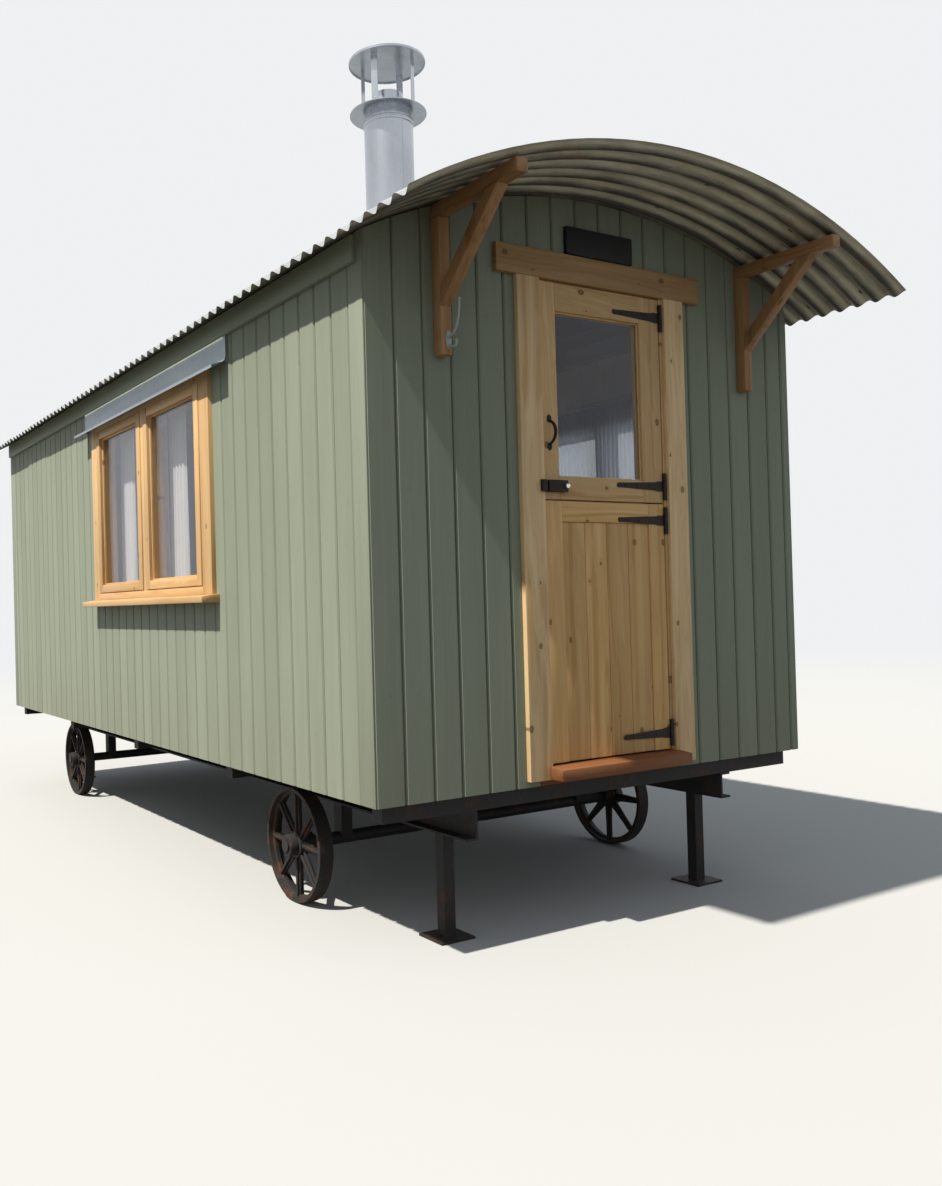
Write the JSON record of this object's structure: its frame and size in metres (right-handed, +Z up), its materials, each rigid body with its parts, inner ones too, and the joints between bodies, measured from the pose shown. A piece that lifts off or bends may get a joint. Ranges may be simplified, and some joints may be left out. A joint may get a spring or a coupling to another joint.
{
  "type": "shepherds hut",
  "caption": "Shepherd's hut on iron wheels: sage green boards, barrel roof of corrugated sheet, stable door, shaded side windows and a steel flue.",
  "frame": {"origin": "on the ground under the middle of the roof's plan", "axes": "+Z up, -Y towards the door end, +X to the right of somebody who faces the door; the hut's length runs along Y"},
  "size_m": [2.288, 5.313, 3.117],
  "materials": {
    "sage_cladding": "sage green painted tongue and groove boards",
    "galvanised_sheet": "weathered corrugated galvanised steel",
    "roof_boards": "sawn boarding",
    "floor_boards": "planed boards",
    "pale_pine": "oiled knotty pine",
    "stained_pine": "orange brown wood stain",
    "hardwood_sill": "red brown hardwood",
    "clear_glass": "clear window glass",
    "black_iron": "black painted ironwork",
    "dark_board": "black stained board",
    "stainless_flue": "brushed stainless steel",
    "lead_grey": "grey weather collar",
    "blue_grey_sheet": "blue grey weathered sheet",
    "chassis_steel": "black chassis paint with dust and rust",
    "wheel_iron": "rusty black cast iron",
    "curtain_cloth": "white cotton",
    "white_track": "white plastic"
  },
  "bodies": {
    "hut": {"chassis_rails": "chassis_steel", "chassis_cross_members": "chassis_steel", "axles": "chassis_steel", "corner_steadies": "chassis_steel", "front_wheels": "wheel_iron", "rear_wheels": "wheel_iron", "floor": "floor_boards", "front_wall_left": "sage_cladding", "front_wall_right": "sage_cladding", "front_wall_over_door": "sage_cladding", "back_wall": "sage_cladding", "left_wall": "sage_cladding", "right_wall": "sage_cladding", "roof_boarding": "roof_boards", "roof_sheet": "galvanised_sheet", "fascias": "sage_cladding", "door_jambs": "pale_pine", "door_frame_head": "pale_pine", "door_sill": "hardwood_sill", "door_trims": "pale_pine", "head_board": "pale_pine", "name_plaque": "dark_board", "hinge_plates": "black_iron", "lock_keep": "black_iron", "bracket_posts": "stained_pine", "bracket_arms": "stained_pine", "bracket_braces": "stained_pine", "left_window_frame": "stained_pine", "right_window_frame": "stained_pine", "window_glass": "clear_glass", "window_sills": "stained_pine", "window_hoods": "blue_grey_sheet", "curtain_tracks": "white_track", "curtains": "curtain_cloth", "flue_pipe": "stainless_flue", "flue_flashing": "lead_grey", "cowl_base": "stainless_flue", "cowl_cap": "stainless_flue", "cowl_straps": "stainless_flue"},
    "upper_door": {"upper_leaf_frame": "pale_pine", "upper_leaf_glass": "clear_glass", "upper_leaf_bead": "pale_pine", "upper_leaf_straps": "black_iron", "pull_handle": "black_iron", "door_lock": "black_iron"},
    "lower_door": {"lower_leaf_frame": "pale_pine", "lower_leaf_boards": "pale_pine", "lower_leaf_straps": "black_iron"}
  },
  "joints": [
    {"name": "upper_door_hinge", "type": "hinge", "parent": "hut", "child": "upper_door", "pos_m": [0.2755, -2.2205, 1.9], "axis": [0, 0, 1], "range_deg": [0, 120]},
    {"name": "lower_door_hinge", "type": "hinge", "parent": "hut", "child": "lower_door", "pos_m": [0.2755, -2.2205, 1.05], "axis": [0, 0, 1], "range_deg": [0, 120]}
  ]
}
